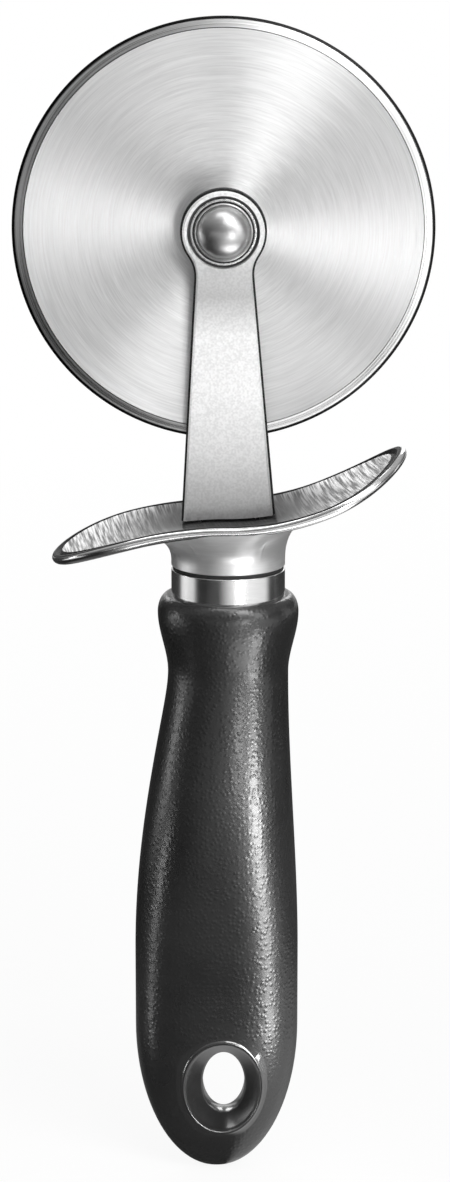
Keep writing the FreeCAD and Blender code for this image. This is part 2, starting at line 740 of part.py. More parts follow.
def check_and_write():
    doc.recompute()
    for item in doc.Objects:
        if "Invalid" in item.State or "Error" in item.State:
            raise RuntimeError(f"{item.Name} is in error")
    os.makedirs("parts", exist_ok=True)
    for node in nodes:
        shape = node.Shape
        if shape.isNull() or not shape.isValid() or shape.Volume <= 0:
            raise RuntimeError(f"{node.Label} has no valid shape")
        shape.exportStep(f"parts/{node.Label}.step")
        print(f"{node.Label}: {len(shape.Solids)} solid, {shape.Volume:.1f} mm3")


cutting_blade()
hub()
axle()
fork_arm("fork_arm_front", rear=False)
fork_arm("fork_arm_rear", rear=True)
tang_spacer()
tang_pins()
thumb_guard()
neck_seal()
ferrule()
blank = core_blank()
shaped("handle_core", handle_core(blank))
shaped("grip_sleeve", grip_sleeve(blank))
check_and_write()
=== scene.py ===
"""Looks of the pizza cutter wheel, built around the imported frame.

Lengths are metres, written as millimetres times MM. The frame's origin is the centre of the hang
hole, +Z points up the tool to the blade, and the front arm is on the -Y side.
"""

import math

import bmesh
import bpy
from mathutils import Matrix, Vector


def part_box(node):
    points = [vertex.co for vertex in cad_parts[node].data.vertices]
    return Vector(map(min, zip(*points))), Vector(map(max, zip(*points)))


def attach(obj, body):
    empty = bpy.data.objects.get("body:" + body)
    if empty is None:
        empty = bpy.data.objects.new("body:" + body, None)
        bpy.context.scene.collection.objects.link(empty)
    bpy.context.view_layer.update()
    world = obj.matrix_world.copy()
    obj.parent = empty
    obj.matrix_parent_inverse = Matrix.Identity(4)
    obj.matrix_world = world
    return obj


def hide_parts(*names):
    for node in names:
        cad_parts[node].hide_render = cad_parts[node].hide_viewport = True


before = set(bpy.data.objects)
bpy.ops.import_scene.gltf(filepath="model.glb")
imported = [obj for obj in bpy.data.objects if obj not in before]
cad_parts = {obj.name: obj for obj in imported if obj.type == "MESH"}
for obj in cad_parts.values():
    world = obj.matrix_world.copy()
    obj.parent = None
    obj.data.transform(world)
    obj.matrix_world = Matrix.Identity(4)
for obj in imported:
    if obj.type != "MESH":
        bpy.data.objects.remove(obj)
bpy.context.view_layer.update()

MM = 0.001
WELD = 1e-7
TINY = 1e-9
SHARP_ANGLE = math.radians(32)
CORNER_SHARE = 0.45


def half_width(node):
    low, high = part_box(node)
    return (high.x - low.x) / 2


def bend_radius(reach, rise):
    """Radius of an arc that leaves level and rises by that much over the reach."""
    return (reach ** 2 + rise ** 2) / (2 * rise)


# Sizes read from the frame
blade_low, blade_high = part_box("cutting_blade")
AXLE = (blade_low + blade_high) / 2
BLADE_RADIUS = half_width("cutting_blade")
BLADE_HALF = (blade_high.y - blade_low.y) / 2
BUSH_RADIUS = half_width("hub_bush")
arm_low, arm_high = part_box("fork_arm_front")
ARM_OUTER = -arm_low.y
ARM_INNER = -arm_high.y
EYE_RADIUS = arm_high.z - AXLE.z
FOOT_HALF = half_width("fork_arm_front")
guard_low, guard_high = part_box("thumb_guard")
NECK_X = (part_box("ferrule")[0].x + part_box("ferrule")[1].x) / 2
NECK_RADIUS = half_width("ferrule")
GUARD_LEFT = NECK_X - guard_low.x
GUARD_RIGHT = guard_high.x - NECK_X
GUARD_HALF_DEPTH = guard_high.y
NECK_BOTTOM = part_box("neck_seal")[1].z
grip_low, grip_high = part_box("grip_sleeve")
GRIP_TOP = grip_high.z
GRIP_TIP = grip_low.z
DOME_RADIUS = half_width("axle_rivet")
HEAD_SEAT = -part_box("seat_washer_front")[0].y

# Sizes and mesh steps of the blade, the hub and the axle
AXLE_RADIUS = 2.0 * MM
SHANK_GAP = 0.05 * MM
BLADE_SEGMENTS = 288
BLADE_SOFT = 0.1 * MM
BEVEL_WIDTH = 1.8 * MM
MICRO_BEVEL = 0.4 * MM
MICRO_HALF = 0.24 * MM
EDGE_HALF = 0.1 * MM
SHOULDER_BAND_WIDTH = 0.24 * MM
RING_SEGMENTS = 96
BUSH_SOFT = 0.1 * MM
SPACER_SOFT = 0.15 * MM
SEAT_RING_SOFT = 0.18 * MM
DOME_LIP = 0.2 * MM
DOME_STEPS = 16
LIP_STEPS = 8

# Sizes and mesh steps of the guard and the collars
GUARD_NECK = 7.4 * MM
GUARD_FLOOR = NECK_BOTTOM + GUARD_NECK
GUARD_SEGMENTS = 288
GUARD_RISE = 11.0 * MM
GUARD_DROOP = 6.3 * MM
RIGHT_BEND = bend_radius(GUARD_RIGHT, GUARD_RISE)
LEFT_BEND = bend_radius(GUARD_LEFT, GUARD_DROOP)
GUARD_DISH = 0.7 * MM
DISH_POWER = 3
DISH_SHADE_REACH = 8 * MM
GUARD_HALF_THICK = 0.8 * MM
RIM_END_SIDE = -38
RIM_END_WING = -90
FLARE_REACH = 4.6 * MM
FLARE_DROP = 6.5 * MM
FLARE_PULL = 0.42
SEAM_CHAMFER = 0.08 * MM
DISH_ROWS = 18
GROOVE_ROWS = 2
RIM_ROWS = 9
DARK_RIM_ROWS = 2
WING_STEPS = 12
FLARE_STEPS = 20
UNDERSIDE_ROWS = 26
GROOVE_WIDTH = 1.0 * MM
GROOVE_DEPTH = 0.45 * MM
SLOT_HALF_X = 4.55 * MM
SLOT_HALF_Y = 3.8 * MM
COLLAR_SEGMENTS = 160
COLLAR_WALL = 1.5 * MM
SEAL_SOFT = 0.1 * MM
FERRULE_SOFT = 0.12 * MM

# Sizes and mesh steps of the arms, with the foot's middle measured from the axle
STRAP_HALF = 4.0 * MM
STRAP_ROWS = 30
ARM_COLUMNS = 28
NECK_FILLET = 5.0 * MM
FILLET_STEPS = 12
EYE_STEPS = 24
EYE_RINGS = 8
EYE_OPENING = math.radians(48)
SEAT_RADIUS = 5.45 * MM
SEAT_DEPTH = 0.75 * MM
SEAT_BLEND = 0.1 * MM
WASHER_BRIGHT = 0.82 * MM
ARM_CHAMFER = 0.62 * MM
CHAMFER_BRIGHT_SHARE = 0.48
SHOULDER_GAP = 0.3 * MM
TANG_STEP = 0.4 * MM
TANG_HALF = 4.5 * MM
DOWNWARD = 0.9
STRAP_HOLLOW = 0.3 * MM
HOLLOW_START = 5.6 * MM
HOLLOW_END = 12.5 * MM
HOLLOW_SQUEEZE = 0.6
FOOT_X = NECK_X - AXLE.x
FOOT_Z = GUARD_FLOOR + SHOULDER_GAP - AXLE.z

# Sizes and mesh steps of the grip
GRIP_COLUMNS = 56
SIDE_COLUMNS = 8
LIP_DROP = 2.8 * MM
LIP_HALF_WIDTH = 10.8 * MM
LIP_HALF_DEPTH = 10.4 * MM
EDGE_WALL = 0.5 * MM
WAIST_DROP = 12.1 * MM
WAIST_HALF_WIDTH = 9.25 * MM
WAIST_HALF_DEPTH = 9.1 * MM
PALM_HEIGHT = 45.5 * MM
PALM_HALF_DEPTH = 10.4 * MM
BELLY_HEIGHT = 21.5 * MM
BELLY_LEFT = 13.8 * MM
BELLY_RIGHT = 11.6 * MM
END_HEIGHT = 9.5 * MM
END_HALF_DEPTH = 7.2 * MM
ROUND_POWER = 2.0
BELLY_POWER = 2.35
RIM_HALF_WIDTH = 6.4 * MM
RIM_HALF_HEIGHT = 7.8 * MM
RIM_HALF_DEPTH = 6.6 * MM
RIM_ROUND_SHARE = 1.08
RIM_BEAD = 0.5 * MM
THROAT_HALF_WIDTH = 3.3 * MM
THROAT_HALF_HEIGHT = 4.9 * MM
THROAT_HALF_DEPTH = 1.5 * MM
PIP_PITCH = 0.7 * MM
PIP_HEIGHT = 0.03 * MM
SMOOTH_PIP_HEIGHT = PIP_HEIGHT / 20
LIP_ROWS = 10
WAIST_ROWS = 14
PALM_ROWS = 44
BELLY_ROWS = 12
TIP_ROWS = 26
HOLE_BLOCK_TOP = 11.5 * MM
HOLE_BLOCK_BOTTOM = -11.2 * MM
SKIN_STEPS = 6
BEAD_STEPS = 8
FUNNEL_STEPS = 8
SEARCH_STEPS = 24


# Mesh tools

def shares(count):
    """Evenly spaced numbers from 0 to 1, both ends included."""
    return [step / count for step in range(count + 1)]


def ease(share):
    share = min(max(share, 0.0), 1.0)
    return share * share * (3 - 2 * share)


def mix(low, high, share):
    return low + (high - low) * share


def add_patch(form, rows):
    """Quads between neighbouring rows of points, given back row by row. Doubles are welded later."""
    grid = [[form.verts.new(point) for point in row] for row in rows]
    strips = []
    for upper, lower in zip(grid, grid[1:]):
        corners = zip(upper, upper[1:], lower[1:], lower)
        strips.append([form.faces.new(quad) for quad in corners])
    return strips


def closed(ring):
    return ring + ring[:1]


def weld(form):
    bmesh.ops.remove_doubles(form, verts=form.verts, dist=WELD)
    bmesh.ops.dissolve_degenerate(form, edges=form.edges, dist=WELD)
    bmesh.ops.recalc_face_normals(form, faces=form.faces)


def softened(profile, radius, steps=4):
    """A closed profile with each corner rounded, by a share of its edges at most."""
    rounded = []
    for index, corner in enumerate(profile):
        corner = Vector(corner)
        before = Vector(profile[index - 1]) - corner
        after = Vector(profile[(index + 1) % len(profile)]) - corner
        reach = min(radius, before.length * CORNER_SHARE, after.length * CORNER_SHARE)
        start = corner + before.normalized() * reach
        end = corner + after.normalized() * reach
        for share in shares(steps):
            rounded.append(start.lerp(corner, share).lerp(corner.lerp(end, share), share))
    return rounded


def turned(profile, upright, segments):
    """A closed profile of (radius, along) turned about Z if upright, else about Y."""
    form = bmesh.new()
    rows = []
    for radius, along in closed(list(profile)):
        ring = []
        for step in range(segments + 1):
            turn = 2 * math.pi * (step % segments) / segments
            x = radius * math.cos(turn)
            y = radius * math.sin(turn)
            ring.append((x, y, along) if upright else (x, along, y))
        rows.append(ring)
    add_patch(form, rows)
    weld(form)
    return form


def finish_piece(name, form, body, node, materials, place=(0, 0, 0)):
    """Turn a mesh into a piece that stands for a node and rides on a body."""
    mesh = bpy.data.meshes.new(name)
    form.to_mesh(mesh)
    form.free()
    mesh.shade_smooth()
    mesh.set_sharp_from_angle(angle=SHARP_ANGLE)
    for material in materials:
        mesh.materials.append(material)
    made = bpy.data.objects.new(name, mesh)
    bpy.context.scene.collection.objects.link(made)
    made.location = place
    normals = made.modifiers.new("normals", "WEIGHTED_NORMAL")
    normals.keep_sharp = True
    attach(made, body)
    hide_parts(node)


# Material tools

def new_material(name, metallic=0.0):
    material = bpy.data.materials.new(name)
    material.use_nodes = True
    tree = material.node_tree
    shader = tree.nodes["Principled BSDF"]
    shader.inputs["Metallic"].default_value = metallic
    return material, tree, shader


def add_node(tree, kind, inputs=None, **settings):
    """A node with its settings, and its inputs either linked or given a value."""
    made = tree.nodes.new(kind)
    for name, setting in settings.items():
        setattr(made, name, setting)
    for name, given in (inputs or {}).items():
        if isinstance(given, bpy.types.NodeSocket):
            tree.links.new(given, made.inputs[name])
        else:
            made.inputs[name].default_value = given
    return made


def object_spot(tree):
    return add_node(tree, "ShaderNodeTexCoord").outputs["Object"]


def stretched(tree, vector, factors):
    """The vector with each axis multiplied by its own factor."""
    return add_node(
        tree, "ShaderNodeVectorMath", {0: vector, 1: factors}, operation="MULTIPLY").outputs["Vector"]


def length_of(tree, vector):
    return add_node(tree, "ShaderNodeVectorMath", {0: vector}, operation="LENGTH").outputs["Value"]


def noise(tree, vector, pitch, detail=2.0, rough=0.5):
    """Seamless noise whose largest spots are about a pitch apart."""
    return add_node(
        tree, "ShaderNodeTexNoise",
        {"Vector": vector, "Scale": 1 / pitch, "Detail": detail, "Roughness": rough}).outputs["Fac"]


def ranged(tree, source, low, high, start=0.3, end=0.7):
    """The source's span from start to end, spread over low to high."""
    span = {"Value": source, "From Min": start, "From Max": end, "To Min": low, "To Max": high}
    return add_node(tree, "ShaderNodeMapRange", span).outputs["Result"]


def combined(tree, operation, first, second):
    """Two numbers or sources put together by a sum, a product or the like."""
    return add_node(tree, "ShaderNodeMath", {0: first, 1: second}, operation=operation).outputs["Value"]


def graded(tree, source, stops):
    """A level that follows the source from 0 to 1 through (place, level) stops."""
    ramp = add_node(tree, "ShaderNodeValToRGB", {"Fac": source})
    elements = ramp.color_ramp.elements
    while len(elements) < len(stops):
        elements.new(1.0)
    for element, (place, level) in zip(elements, stops):
        element.position = place
        element.color = (level, level, level, 1)
    return ramp.outputs["Color"]


def radius_about_y(tree):
    """Distance from the piece's own Y axis."""
    return length_of(tree, stretched(tree, object_spot(tree), (1, 0, 1)))


def bumped(tree, height, distance, strength):
    return add_node(
        tree, "ShaderNodeBump",
        {"Height": height, "Distance": distance, "Strength": strength}).outputs["Normal"]


def wire(tree, shader, **sources):
    """Link sources to the shader's inputs, an underscore standing for a space."""
    for name, source in sources.items():
        tree.links.new(source, shader.inputs[name.replace("_", " ")])


def ring_grain(tree, line_width, arc_length):
    """Fine lines along circles about the piece's own Y axis, as a disc is brushed while it spins."""
    flat = stretched(tree, object_spot(tree), (1, 0, 1))
    heading = add_node(
        tree, "ShaderNodeVectorMath", {0: flat}, operation="NORMALIZE").outputs["Vector"]
    turns = BLADE_RADIUS / arc_length
    spread = stretched(tree, heading, (turns, 1, turns))
    lines = combined(tree, "MULTIPLY", radius_about_y(tree), 1 / line_width)
    lift = add_node(tree, "ShaderNodeCombineXYZ", {"Y": lines}).outputs["Vector"]
    spot = add_node(
        tree, "ShaderNodeVectorMath", {0: spread, 1: lift}, operation="ADD").outputs["Vector"]
    return noise(tree, spot, 1.0, detail=3.0, rough=0.6)


# Materials

def brushed_blade():
    material, tree, shader = new_material("blade_brushed_steel", metallic=1.0)
    fine = ring_grain(tree, 0.24 * MM, 9 * MM)
    broad = ring_grain(tree, 1.1 * MM, 40 * MM)
    shader.inputs["Anisotropic"].default_value = 0.93
    shader.inputs["Anisotropic Rotation"].default_value = 0.25
    tangent = add_node(tree, "ShaderNodeTangent", direction_type="RADIAL", axis="Y")
    tone = combined(tree, "MULTIPLY", ranged(tree, fine, 0.82, 1.0), ranged(tree, broad, 0.95, 1.0))
    wire(
        tree, shader,
        Base_Color=tone,
        Roughness=ranged(tree, fine, 0.4, 0.5),
        Normal=bumped(tree, fine, 0.006 * MM, 0.5),
        Tangent=tangent.outputs["Tangent"])
    return material


def ground_bevel():
    material, tree, shader = new_material("blade_ground_bevel", metallic=1.0)
    lines = ring_grain(tree, 0.26 * MM, 60 * MM)
    radius = radius_about_y(tree)
    # Painted shade: the outermost bevel goes near black, standing for the dark outline at the cutting
    # edge. A darker band also lies just past the bevel's shoulder.
    edge_start = BLADE_RADIUS - MICRO_BEVEL
    edge = ranged(tree, radius, 1.0, 0.02, edge_start - MICRO_BEVEL / 4, edge_start)
    shoulder_start = BLADE_RADIUS - BEVEL_WIDTH
    shoulder_band = ranged(tree, radius, 0.1, 1.0, shoulder_start + SHOULDER_BAND_WIDTH / 2, shoulder_start + SHOULDER_BAND_WIDTH)
    dark_bands = combined(tree, "MULTIPLY", edge, shoulder_band)
    wire(
        tree, shader,
        Base_Color=combined(tree, "MULTIPLY", ranged(tree, lines, 0.3, 0.95), dark_bands),
        Roughness=ranged(tree, lines, 0.24, 0.36),
        Normal=bumped(tree, lines, 0.008 * MM, 0.6))
    return material


def satin_steel():
    """Bead-blasted steel with painted shade: greyer at the foot and under the eye, and near black in
    the sunk seat of the eye.
    """
    material, tree, shader = new_material("arm_satin_steel", metallic=0.65)
    spot = object_spot(tree)
    grain = noise(tree, spot, 0.3 * MM, detail=0.0)
    height = add_node(tree, "ShaderNodeSeparateXYZ", {0: spot}).outputs["Z"]
    share = ranged(tree, height, 0.0, 1.0, GUARD_FLOOR - AXLE.z, EYE_RADIUS)
    # Painted shade along the strap: darker at the foot and under the eye.
    strap = graded(tree, share, (
        (0, 0.5), (0.2, 0.8), (0.4, 1.0), (0.56, 0.97), (0.68, 0.58), (0.76, 0.66), (0.84, 0.95)))
    # Painted shade: near black inside the sunk seat, round the washer and the dome.
    seat = ranged(tree, radius_about_y(tree), 0.08, 1.0, SEAT_RADIUS - SEAT_BLEND, SEAT_RADIUS)
    stipple_and_shade = combined(tree, "MULTIPLY", strap, ranged(tree, grain, 0.88, 1.02))
    wire(
        tree, shader,
        Base_Color=combined(tree, "MULTIPLY", stipple_and_shade, seat),
        Roughness=ranged(tree, grain, 0.42, 0.54),
        Normal=bumped(tree, grain, 0.012 * MM, 0.5))
    return material


def painted_shade_steel():
    """Near-black steel as painted shade, on the arms' cut edges, the tangs, the guard's groove and the
    top of its rim, where dark lines and shadow fall.
    """
    material, tree, shader = new_material("painted_shade_dark_steel", metallic=1.0)
    mottle = noise(tree, object_spot(tree), 0.8 * MM, detail=4.0)
    wire(
        tree, shader,
        Base_Color=ranged(tree, mottle, 0.02, 0.06),
        Roughness=ranged(tree, mottle, 0.5, 0.7),
        Normal=bumped(tree, mottle, 0.01 * MM, 0.4))
    return material


def polished_metal(name, dark, light, gloss_low, gloss_high, metallic=1.0):
    """Polished metal with faint smears and hairlines; satin metal is a little less metallic."""
    material, tree, shader = new_material(name, metallic)
    spot = object_spot(tree)
    smear = noise(tree, stretched(tree, spot, (1, 1, 0.5)), 6 * MM, detail=4.0)
    hairline = noise(tree, stretched(tree, spot, (0.12, 0.12, 1)), 0.3 * MM, detail=2.0)
    tone = combined(
        tree, "MULTIPLY", ranged(tree, smear, dark, light), ranged(tree, hairline, 0.93, 1.0))
    wire(
        tree, shader,
        Base_Color=tone,
        Roughness=ranged(tree, smear, gloss_low, gloss_high),
        Normal=bumped(tree, hairline, 0.002 * MM, 0.2))
    return material


def dish_metal():
    """The guard's dished top: lines brushed across it, with painted shade darkening it towards the
    arms.
    """
    material, tree, shader = new_material("guard_brushed_dish", metallic=1.0)
    spot = object_spot(tree)
    slant = (0, 0, math.radians(-6))
    turned_spot = add_node(tree, "ShaderNodeMapping", {"Vector": spot, "Rotation": slant})
    drawn_out = stretched(tree, turned_spot.outputs["Vector"], (1, 0.03, 0.1))
    lines = noise(tree, drawn_out, 0.26 * MM, detail=1.0)
    # Painted shade: the dish goes near black close to the neck, where the arms shade it.
    arm_shade_end = GUARD_HALF_DEPTH + DISH_SHADE_REACH
    painted_arm_shade = ranged(tree, length_of(tree, spot), 0.03, 1.0, NECK_RADIUS, arm_shade_end)
    wire(
        tree, shader,
        Base_Color=combined(tree, "MULTIPLY", ranged(tree, lines, 0.04, 0.66, 0.36, 0.64), painted_arm_shade),
        Roughness=ranged(tree, lines, 0.28, 0.4),
        Normal=bumped(tree, lines, 0.01 * MM, 0.4))
    return material


def washer_steel():
    """A polished ring with painted shade darkening it where the dome sits on it."""
    material, tree, shader = new_material("seat_washer_steel", metallic=1.0)
    radius = radius_about_y(tree)
    smear = noise(tree, object_spot(tree), 0.6 * MM, detail=3.0)
    # Painted shade: the ring goes near black inside this radius, under the dome.
    shade_end = SEAT_RADIUS - WASHER_BRIGHT
    dark_bands = ranged(tree, radius, 0.05, 0.85, shade_end, shade_end + SEAT_BLEND)
    wire(
        tree, shader,
        Base_Color=combined(tree, "MULTIPLY", dark_bands, ranged(tree, smear, 0.8, 1.0)),
        Roughness=ranged(tree, smear, 0.2, 0.34),
        Normal=bumped(tree, smear, 0.004 * MM, 0.3))
    return material


def soft_grip(name, pip_height, coat):
    """Near-black rubber whose pebbled skin breaks the highlights into dots."""
    material, tree, shader = new_material(name)
    spot = object_spot(tree)
    cells = add_node(
        tree, "ShaderNodeTexVoronoi",
        {"Vector": spot, "Scale": 1 / PIP_PITCH, "Randomness": 0.8}).outputs["Distance"]
    pips = add_node(
        tree, "ShaderNodeMapRange", {"Value": cells, "From Max": 0.6, "To Min": 1.0, "To Max": 0.0},
        interpolation_type="SMOOTHSTEP").outputs["Result"]
    cloud = noise(tree, spot, 14 * MM, detail=3.0)
    shader.inputs["Specular IOR Level"].default_value = 1.0
    shader.inputs["Coat Weight"].default_value = coat
    shader.inputs["Coat Roughness"].default_value = 0.14
    shader.inputs["Coat IOR"].default_value = 1.8
    wire(
        tree, shader,
        Base_Color=ranged(tree, cloud, 0.009, 0.015),
        Roughness=ranged(tree, cloud, 0.26, 0.32),
        Normal=bumped(tree, pips, pip_height, 1.0))
    return material


def seal_rubber():
    material, tree, shader = new_material("seal_rubber")
    grain = noise(tree, object_spot(tree), 0.3 * MM, detail=2.0)
    wire(
        tree, shader,
        Base_Color=ranged(tree, grain, 0.01, 0.018),
        Roughness=ranged(tree, grain, 0.6, 0.75),
        Normal=bumped(tree, grain, 0.01 * MM, 0.4))
    return material


def moulded_plastic(name, dark, light):
    material, tree, shader = new_material(name)
    spot = object_spot(tree)
    grain = noise(tree, spot, 0.25 * MM, detail=2.0)
    cloud = noise(tree, spot, 5 * MM, detail=2.0)
    wire(
        tree, shader,
        Base_Color=ranged(tree, cloud, dark, light),
        Roughness=ranged(tree, grain, 0.42, 0.56),
        Normal=bumped(tree, grain, 0.01 * MM, 0.3))
    return material


BLADE_STEEL = brushed_blade()
BEVEL_STEEL = ground_bevel()
ARM_STEEL = satin_steel()
PAINTED_SHADE_STEEL = painted_shade_steel()
RIVET_STEEL = polished_metal("rivet_polished_steel", 0.5, 0.54, 0.33, 0.35)
WASHER_STEEL = washer_steel()
GUARD_METAL = polished_metal("guard_polished_metal", 0.8, 0.88, 0.16, 0.24)
NECK_METAL = polished_metal("guard_satin_neck", 0.9, 0.97, 0.34, 0.4, metallic=0.84)
DISH_METAL = dish_metal()
GRIP_RUBBER = soft_grip("grip_soft_rubber", PIP_HEIGHT, coat=0.0)
RIM_RUBBER = soft_grip("grip_smooth_rubber", SMOOTH_PIP_HEIGHT, coat=1.0)
SEAL_RUBBER = seal_rubber()
HUB_POLYMER = moulded_plastic("hub_polymer", 0.74, 0.84)
CORE_PLASTIC = moulded_plastic("core_plastic", 0.06, 0.09)


# Wheel and axle

def blade():
    shoulder = BLADE_RADIUS - BEVEL_WIDTH
    profile = [
        (BUSH_RADIUS, -BLADE_HALF),
        (shoulder, -BLADE_HALF),
        (BLADE_RADIUS - MICRO_BEVEL, -MICRO_HALF),
        (BLADE_RADIUS, -EDGE_HALF),
        (BLADE_RADIUS, EDGE_HALF),
        (BLADE_RADIUS - MICRO_BEVEL, MICRO_HALF),
        (shoulder, BLADE_HALF),
        (BUSH_RADIUS, BLADE_HALF),
    ]
    form = turned(softened(profile, BLADE_SOFT, steps=3), upright=False, segments=BLADE_SEGMENTS)
    for face in form.faces:
        middle = face.calc_center_median()
        if math.hypot(middle.x, middle.z) > shoulder:
            face.material_index = 1
    finish_piece(
        "blade", form, "wheel", "cutting_blade", [BLADE_STEEL, BEVEL_STEEL], AXLE)


def ring_piece(name, node, body, material, inner, soft):
    """A ring about the axle that fills its node's box, with softened edges."""
    low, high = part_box(node)
    outer = half_width(node)
    near_y = low.y - AXLE.y
    far_y = high.y - AXLE.y
    profile = [(inner, near_y), (outer, near_y), (outer, far_y), (inner, far_y)]
    form = turned(softened(profile, soft), upright=False, segments=RING_SEGMENTS)
    finish_piece(name, form, body, node, [material], AXLE)


def hub():
    ring_piece(
        "hub_sleeve", "hub_bush", "wheel", HUB_POLYMER,
        AXLE_RADIUS + SHANK_GAP, BUSH_SOFT)
    for side in ("front", "rear"):
        ring_piece(
            f"hub_spacer_{side}", f"hub_washer_{side}", "wheel", HUB_POLYMER,
            BUSH_RADIUS, SPACER_SOFT)
        ring_piece(
            f"seat_ring_{side}", f"seat_washer_{side}", "handle", WASHER_STEEL,
            AXLE_RADIUS, SEAT_RING_SOFT)


def dome_outline(sign, reach):
    """From the apex over the dome and its thin lip to the seat, on one side of the blade."""
    crown = DOME_RADIUS - 2 * DOME_LIP
    base = HEAD_SEAT + 2 * DOME_LIP
    points = []
    for share in shares(DOME_STEPS):
        turn = share * math.pi / 2
        points.append((crown * math.sin(turn), sign * mix(base, reach, math.cos(turn))))
    for share in shares(LIP_STEPS):
        turn = math.pi * (1 - share * 1.5)
        radius = DOME_RADIUS - DOME_LIP + DOME_LIP * math.cos(turn)
        along = HEAD_SEAT + DOME_LIP + DOME_LIP * math.sin(turn)
        points.append((radius, sign * along))
    return points


def dome_piece(name, node, sign, reach, tail):
    """A dome with its shank, from the apex at reach to the rivet's tail."""
    outline = dome_outline(sign, reach)
    outline += [(AXLE_RADIUS, sign * HEAD_SEAT), (AXLE_RADIUS, tail), (0, tail)]
    form = turned(outline, upright=False, segments=RING_SEGMENTS)
    finish_piece(name, form, "handle", node, [RIVET_STEEL], AXLE)


def axle():
    low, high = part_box("axle_rivet")
    tail = high.y
    dome_piece("rivet", "axle_rivet", -1, -low.y, tail)
    dome_piece("rivet_cap", "axle_cap", 1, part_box("axle_cap")[1].y, tail)


# Fork arms

def guard_rise(x):
    """Height of the guard's top above its height at the neck axis, at a distance to the right of it."""
    if x > 0:
        return RIGHT_BEND - math.sqrt(RIGHT_BEND ** 2 - x ** 2)
    return math.sqrt(LEFT_BEND ** 2 - x ** 2) - LEFT_BEND


def foot_height(x):
    """Height of the arms' foot, which follows the guard's top with a small gap."""
    return FOOT_Z + guard_rise(x - FOOT_X)


def arm_side(side):
    """One side of an arm's outline about the axle, from its foot up to the top of the eye."""
    foot_x = FOOT_X + side * FOOT_HALF
    foot = Vector((foot_x, foot_height(foot_x)))
    start = Vector((side * STRAP_HALF, 0))
    along = (foot - start).normalized()
    outward = Vector((-along.y, along.x)) * side
    away = start.dot(outward) + NECK_FILLET
    reach = EYE_RADIUS + NECK_FILLET
    centre = outward * away + along * math.sqrt(reach ** 2 - away ** 2)
    on_strap = centre - outward * NECK_FILLET
    on_eye = centre * (EYE_RADIUS / reach)
    points = [foot.lerp(on_strap, share) for share in shares(STRAP_ROWS)]
    first = math.atan2(*(on_strap - centre).yx)
    last = math.atan2(*(on_eye - centre).yx)
    swing = (last - first + math.pi) % (2 * math.pi) - math.pi
    for share in shares(FILLET_STEPS)[1:]:
        turn = first + swing * share
        points.append(centre + NECK_FILLET * Vector((math.cos(turn), math.sin(turn))))
    first = math.atan2(on_eye.y, on_eye.x)
    swing = (math.pi / 2 - first + math.pi) % (2 * math.pi) - math.pi
    for share in shares(EYE_STEPS)[1:]:
        turn = first + swing * share
        points.append(EYE_RADIUS * Vector((math.cos(turn), math.sin(turn))))
    return points


def inset(points, distance):
    """A chain of points moved to its left-hand side, each along its own normal."""
    moved = []
    last = len(points) - 1
    for index, point in enumerate(points):
        along = points[min(index + 1, last)] - points[max(index - 1, 0)]
        normal = Vector((-along.y, along.x)).normalized()
        moved.append(point + normal * distance)
    return moved


def strap_hollow(point):
    """How far the strap's face lies below the eye's boss."""
    depth = math.hypot(point.x * HOLLOW_SQUEEZE, point.y) if point.y < 0 else 0
    return STRAP_HOLLOW * ease((depth - HOLLOW_START) / (HOLLOW_END - HOLLOW_START))


def fill_arm(form, edge, lift, hole):
    """Strap rows up to the neck, then rings from the edge of the eye to a round hole.

    Lift puts a point of the outline on a side of the arm. The hole's points and the foot's are given
    back.
    """
    rows = []
    for left, right in zip(edge[::-1], edge[:STRAP_ROWS + 1]):
        rows.append([left.lerp(right, share) for share in shares(ARM_COLUMNS)])
    for point in rows[0]:
        point.y = foot_height(point.x)
    add_patch(form, [[lift(point) for point in row] for row in rows])
    arc = edge[STRAP_ROWS:len(edge) - STRAP_ROWS]
    span = len(arc) - 1
    ring = closed(arc + rows[-1][1:-1])
    circle = []
    for index in range(len(ring)):
        if index <= span:
            turn = mix(EYE_OPENING - math.pi / 2, 1.5 * math.pi - EYE_OPENING, index / span)
        else:
            turn = mix(-EYE_OPENING, EYE_OPENING, (index - span) / ARM_COLUMNS) - math.pi / 2
        circle.append(hole * Vector((math.cos(turn), math.sin(turn))))
    rings = []
    for share in shares(EYE_RINGS):
        rings.append([lift(start.lerp(end, share)) for start, end in zip(ring, circle)])
    add_patch(form, rings)
    return circle, rows[0]


